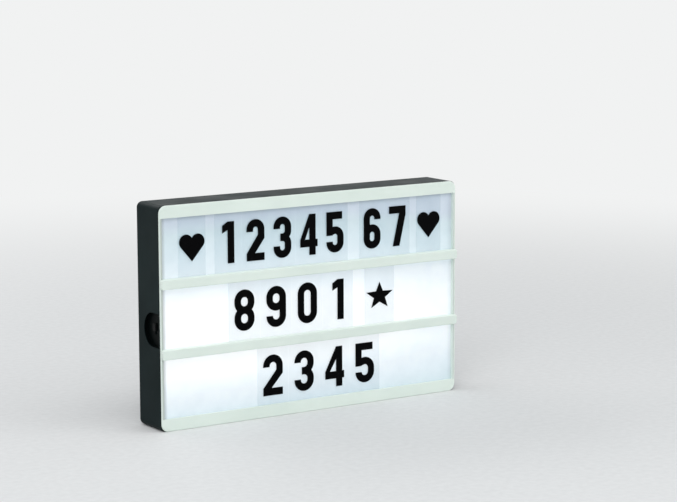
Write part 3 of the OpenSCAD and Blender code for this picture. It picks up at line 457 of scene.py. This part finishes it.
# %% Sheet, boards and leads
def plain_sheet(name, deep, pale, roughness, patch_mm, bump_mm, stretch=(1, 1, 1), **numbers):
    """A pale or coloured sheet or skin with a faint unevenness of one size."""
    material, tree, shader, coords = new_finish(name, Roughness=roughness, **numbers)
    laid = add(tree, "Mapping", sockets={"Vector": coords, "Scale": stretch})
    patches, tone = mottled(tree, laid, patch_mm, deep, pale, detail=3.0)
    bump = add(tree, "Bump", sockets={"Height": patches, "Distance": bump_mm * MM})
    wire(tree, shader, {"Base Color": tone, "Normal": bump})
    return material


white_sheet = plain_sheet(
    "white_polyester_sheet", "#ecedea", "#f5f5f2", roughness=0.6, patch_mm=4.0, bump_mm=0.02, IOR=1.575)
solder_mask = plain_sheet(
    "white_solder_mask", "#e3e6e2", "#f0f2ee", roughness=0.3, patch_mm=1.5, bump_mm=0.03,
    stretch=(0.03, 1, 1), IOR=1.55)
red_pvc = plain_sheet(
    "red_pvc_skin", "#97181c", "#b0262a", roughness=0.38, patch_mm=2.0, bump_mm=0.01, IOR=1.53)
black_pvc = plain_sheet(
    "black_pvc_skin", "#141415", "#1d1d1e", roughness=0.38, patch_mm=2.0, bump_mm=0.01, IOR=1.53)
print("a reflector sheet, a solder mask and two colours of lead")

# %% LED chips
CHIP_COUNT = 14
CHIP_LENGTH_MM = 3.5
PHOSPHOR_R_MM = 1.15
SPOT_BLUR = 0.05  # half the width of the spot's soft edge, as a share of half a chip


def led_chip(board_chips):
    """A white LED case with a round spot of yellow phosphor in the middle of each chip."""
    low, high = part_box(board_chips)
    half_height = (high.z - low.z) / 2
    first_x = low.x + CHIP_LENGTH_MM / 2 * MM
    pitch = (high.x - low.x - CHIP_LENGTH_MM * MM) / (CHIP_COUNT - 1)
    material, tree, shader, coords = new_finish("led_case_" + board_chips, IOR=1.53, Roughness=0.25)
    split = add(tree, "SeparateXYZ", sockets={0: coords})
    past_first = add(tree, "Math", {"operation": "SUBTRACT"}, {0: split.outputs["X"], 1: first_x})
    along = add(tree, "Math", {"operation": "DIVIDE"}, {0: past_first, 1: pitch})
    nearest = add(tree, "Math", {"operation": "ROUND"}, {0: along})
    aside = add(tree, "Math", {"operation": "SUBTRACT"}, {0: along, 1: nearest})
    across = add(tree, "Math", {"operation": "MULTIPLY"}, {0: aside, 1: pitch})
    rise = add(tree, "Math", {"operation": "SUBTRACT"}, {0: split.outputs["Z"], 1: (low.z + high.z) / 2})
    from_middle = add(tree, "CombineXYZ", sockets={"X": across, "Y": rise})
    radius = add(tree, "VectorMath", {"operation": "LENGTH"}, {0: from_middle}).outputs["Value"]
    share = add(tree, "Math", {"operation": "DIVIDE"}, {0: radius, 1: half_height})
    edge = PHOSPHOR_R_MM * MM / half_height
    tone = add(tree, "ValToRGB", sockets={"Fac": share}, stops=[
        (edge - SPOT_BLUR, "#e8c53c"), (edge + SPOT_BLUR, "#efefe8")])
    wire(tree, shader, {"Base Color": tone})
    return material


led_finish = {name: led_chip(name) for name in ("upper_led_chips", "lower_led_chips")}
print("LED chips a board:", CHIP_COUNT)

# %% [markdown]
# ## Cells
# An AA cell is a steel can in a shrunk PVC jacket with a plain two-colour print. The jacket folds over the
# ends by a millimetre and leaves the bare steel of the nub and the base. The print could be an image that is
# wrapped round each cell. One ramp along the cell's own height does the same in a few numbers: it gives
# jacket, band and bare steel their places. Cells stand in turn nub up and nub down, so the ramp is turned
# over for every other one.

# %% Cell jackets
JACKET_START, JACKET_BAND, JACKET_END = 0.012, 0.73, 0.965
PRINT_EDGE = 0.004
WRINKLE_MM, WRINKLE_DEPTH_MM = 3, 0.01
JACKET_ROUGHNESS = (0.18, 0.34)


def cell_finish(name, cell, nub_up):
    """The jacket of one cell, laid out along its height."""
    low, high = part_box(cell)
    base, top = (low.z, high.z) if nub_up else (high.z, low.z)
    material, tree, shader, coords = new_finish(name, IOR=1.53)
    split = add(tree, "SeparateXYZ", sockets={0: coords})
    share = add(tree, "MapRange", sockets={"Value": split.outputs["Z"], "From Min": base, "From Max": top})
    tone = add(tree, "ValToRGB", sockets={"Fac": share}, stops=[
        (0.0, "#c9c7c1"), (JACKET_START, "#1f4f86"), (JACKET_BAND, "#28649f"),
        (JACKET_BAND + PRINT_EDGE, "#c8cbd0"), (JACKET_END, "#c8cbd0"), (JACKET_END + PRINT_EDGE, "#cfccc5")])
    bare_nub = add(tree, "Math", {"operation": "GREATER_THAN"}, {0: share, 1: JACKET_END})
    bare_base = add(tree, "Math", {"operation": "LESS_THAN"}, {0: share, 1: JACKET_START})
    bare = add(tree, "Math", {"operation": "ADD"}, {0: bare_nub, 1: bare_base})
    wrinkles = add(tree, "TexNoise", sockets={
        "Vector": coords, "Scale": 1 / (WRINKLE_MM * MM), "Detail": 3.0})
    sheen = add(tree, "MapRange", sockets={
        "Value": wrinkles, "To Min": JACKET_ROUGHNESS[0], "To Max": JACKET_ROUGHNESS[1]})
    bump = add(tree, "Bump", sockets={"Height": wrinkles, "Distance": WRINKLE_DEPTH_MM * MM})
    wire(tree, shader, {"Base Color": tone, "Metallic": bare, "Roughness": sheen, "Normal": bump})
    return material


# The odd cells stand nub up, so the jackets are listed by the remainder that a cell's number leaves.
cell_jackets = [
    cell_finish("pvc_cell_jacket_nub_down", "aa_cell_2", nub_up=False),
    cell_finish("pvc_cell_jacket_nub_up", "aa_cell_1", nub_up=True)]
print("the jacket covers a cell from", JACKET_START, "to", JACKET_END, "of its height")

# %% [markdown]
# ## Every piece gets its finish
# The frame's record says which material slot each piece belongs to, so one table from slot to finish dresses
# nearly all of them. The LED chips and the cells have a finish for each piece, because their patterns have a
# place on the piece.

# %% Dress the pieces of the frame
FINISHES = {
    "black_abs": black_abs, "black_cap": black_cap, "white_abs": white_abs, "opal_panel": opal_panel,
    "white_sheet": white_sheet, "white_board": solder_mask, "plated_steel": nickel_steel,
    "switch_can": tinned_sheet, "tinned_brass": tinned_brass, "red_lead": red_pvc,
    "black_lead": black_pvc, "clear_tile": clear_film, "black_print": black_ink,
}


def finish_for(name, slot):
    """The finish of one piece of the frame."""
    if name in led_finish:
        return led_finish[name]
    if name.startswith("aa_cell_"):
        return cell_jackets[int(name[-1]) % 2]
    return FINISHES[slot]


for part in frame["record"]["subparts"]:
    piece = NODES[part["node"]]
    piece.data.materials.clear()
    piece.data.materials.append(finish_for(part["node"], part["material_slot"]))
print(len(NODES), "pieces dressed with", len(FINISHES) + len(led_finish) + len(cell_jackets), "finishes")

# %% [markdown]
# ## Floor and backdrop
# The box stands on a pale table top that keeps its shadow. In a studio a roll of paper would curve up behind
# it, but that works from one side only. So the table is flat, and far from the box it fades into the same
# pale grey as the sky around it, and no horizon cuts the picture from any side. The fade works on what the
# camera and mirrors see, and adds no light to the box.

# %% Floor and world
BACKDROP = "#f1f2f2"
ROOM_LIGHT = "#f4f7fa"
FLOOR_RADIUS = 9.0
FADE_START, FADE_END = 0.35, 1.5
SPECK_MM = 6
AMBIENT = 0.5


def seen_directly(tree):
    """1 for what the camera, a mirror or glass looks at, and 0 for light on its way to the box."""
    path = add(tree, "LightPath")
    seen = add(tree, "Math", {"operation": "MAXIMUM"}, {
        0: path.outputs["Is Camera Ray"], 1: path.outputs["Is Glossy Ray"]})
    return add(tree, "Math", {"operation": "MAXIMUM"}, {0: seen, 1: path.outputs["Is Transmission Ray"]})


bpy.ops.mesh.primitive_circle_add(vertices=96, radius=FLOOR_RADIUS, fill_type="NGON")
floor = bpy.context.object
floor.name = "floor"

table_top, tree, shader, coords = new_finish("matt_table_top", Roughness=0.7)
_, tone = mottled(tree, coords, SPECK_MM, "#dcdddd", "#e2e3e3", detail=4.0)
wire(tree, shader, {"Base Color": tone})
distance = add(tree, "VectorMath", {"operation": "LENGTH"}, {0: coords}).outputs["Value"]
far = add(tree, "MapRange", {"interpolation_type": "SMOOTHSTEP"}, {
    "Value": distance, "From Min": FADE_START, "From Max": FADE_END})
faded = add(tree, "Math", {"operation": "MULTIPLY"}, {0: far, 1: seen_directly(tree)})
haze = add(tree, "Emission", sockets={"Color": linear(BACKDROP), "Strength": 1.0})
mixed = add(tree, "MixShader", sockets={0: faded, 1: shader, 2: haze})
output = next(node for node in tree.nodes if node.bl_idname == "ShaderNodeOutputMaterial")
wire(tree, output, {"Surface": mixed})
floor.data.materials.append(table_top)

world = bpy.data.worlds.new("studio")
bpy.context.scene.world = world
world.use_nodes = True
tree = world.node_tree
tree.nodes.clear()
room = add(tree, "Background", sockets={"Color": linear(ROOM_LIGHT), "Strength": AMBIENT})
sky = add(tree, "Background", sockets={"Color": linear(BACKDROP), "Strength": 1.0})
mixed = add(tree, "MixShader", sockets={0: seen_directly(tree), 1: room, 2: sky})
add(tree, "OutputWorld", sockets={"Surface": mixed})
print("floor radius", FLOOR_RADIUS, "m, ambient light", AMBIENT)

# %% [markdown]
# ## Studio lights
# Four softboxes light the box as a product photographer would: a large key light in front and to the left,
# a weaker fill on the right, a light above that brightens the upper edges of the frame and the rails, and a
# long light above and behind, which draws the pale line along the case's back edges. Each is aimed at the
# middle of the box. A photograph of a room could light the scene as well, but softboxes can be set one by
# one until each face has its brightness.

# %% Softboxes
AIM = Vector((0, 0, 0.09))
SOFTBOXES = {  # place, width and height in metres, watts
    "key_light": ((-1.2, -1.35, 1.4), 0.9, 0.9, 12.0),
    "top_light": ((0.0, -0.75, 1.75), 1.2, 0.7, 6.8),
    "fill_light": ((1.5, -1.15, 0.8), 1.2, 1.2, 8.5),
    "back_light": ((-0.5, 1.3, 1.2), 1.6, 0.5, 8.0),
}
for name, (spot, width, height, watts) in SOFTBOXES.items():
    data = bpy.data.lights.new(name, "AREA")
    data.shape = "RECTANGLE"
    data.size, data.size_y = width, height
    data.energy = watts
    lamp = bpy.data.objects.new(name, data)
    bpy.context.scene.collection.objects.link(lamp)
    lamp.location = spot
    lamp.rotation_euler = (Vector(spot) - AIM).to_track_quat("Z", "Y").to_euler()
print(len(SOFTBOXES), "softboxes,", sum(watts for *_, watts in SOFTBOXES.values()), "W in all")
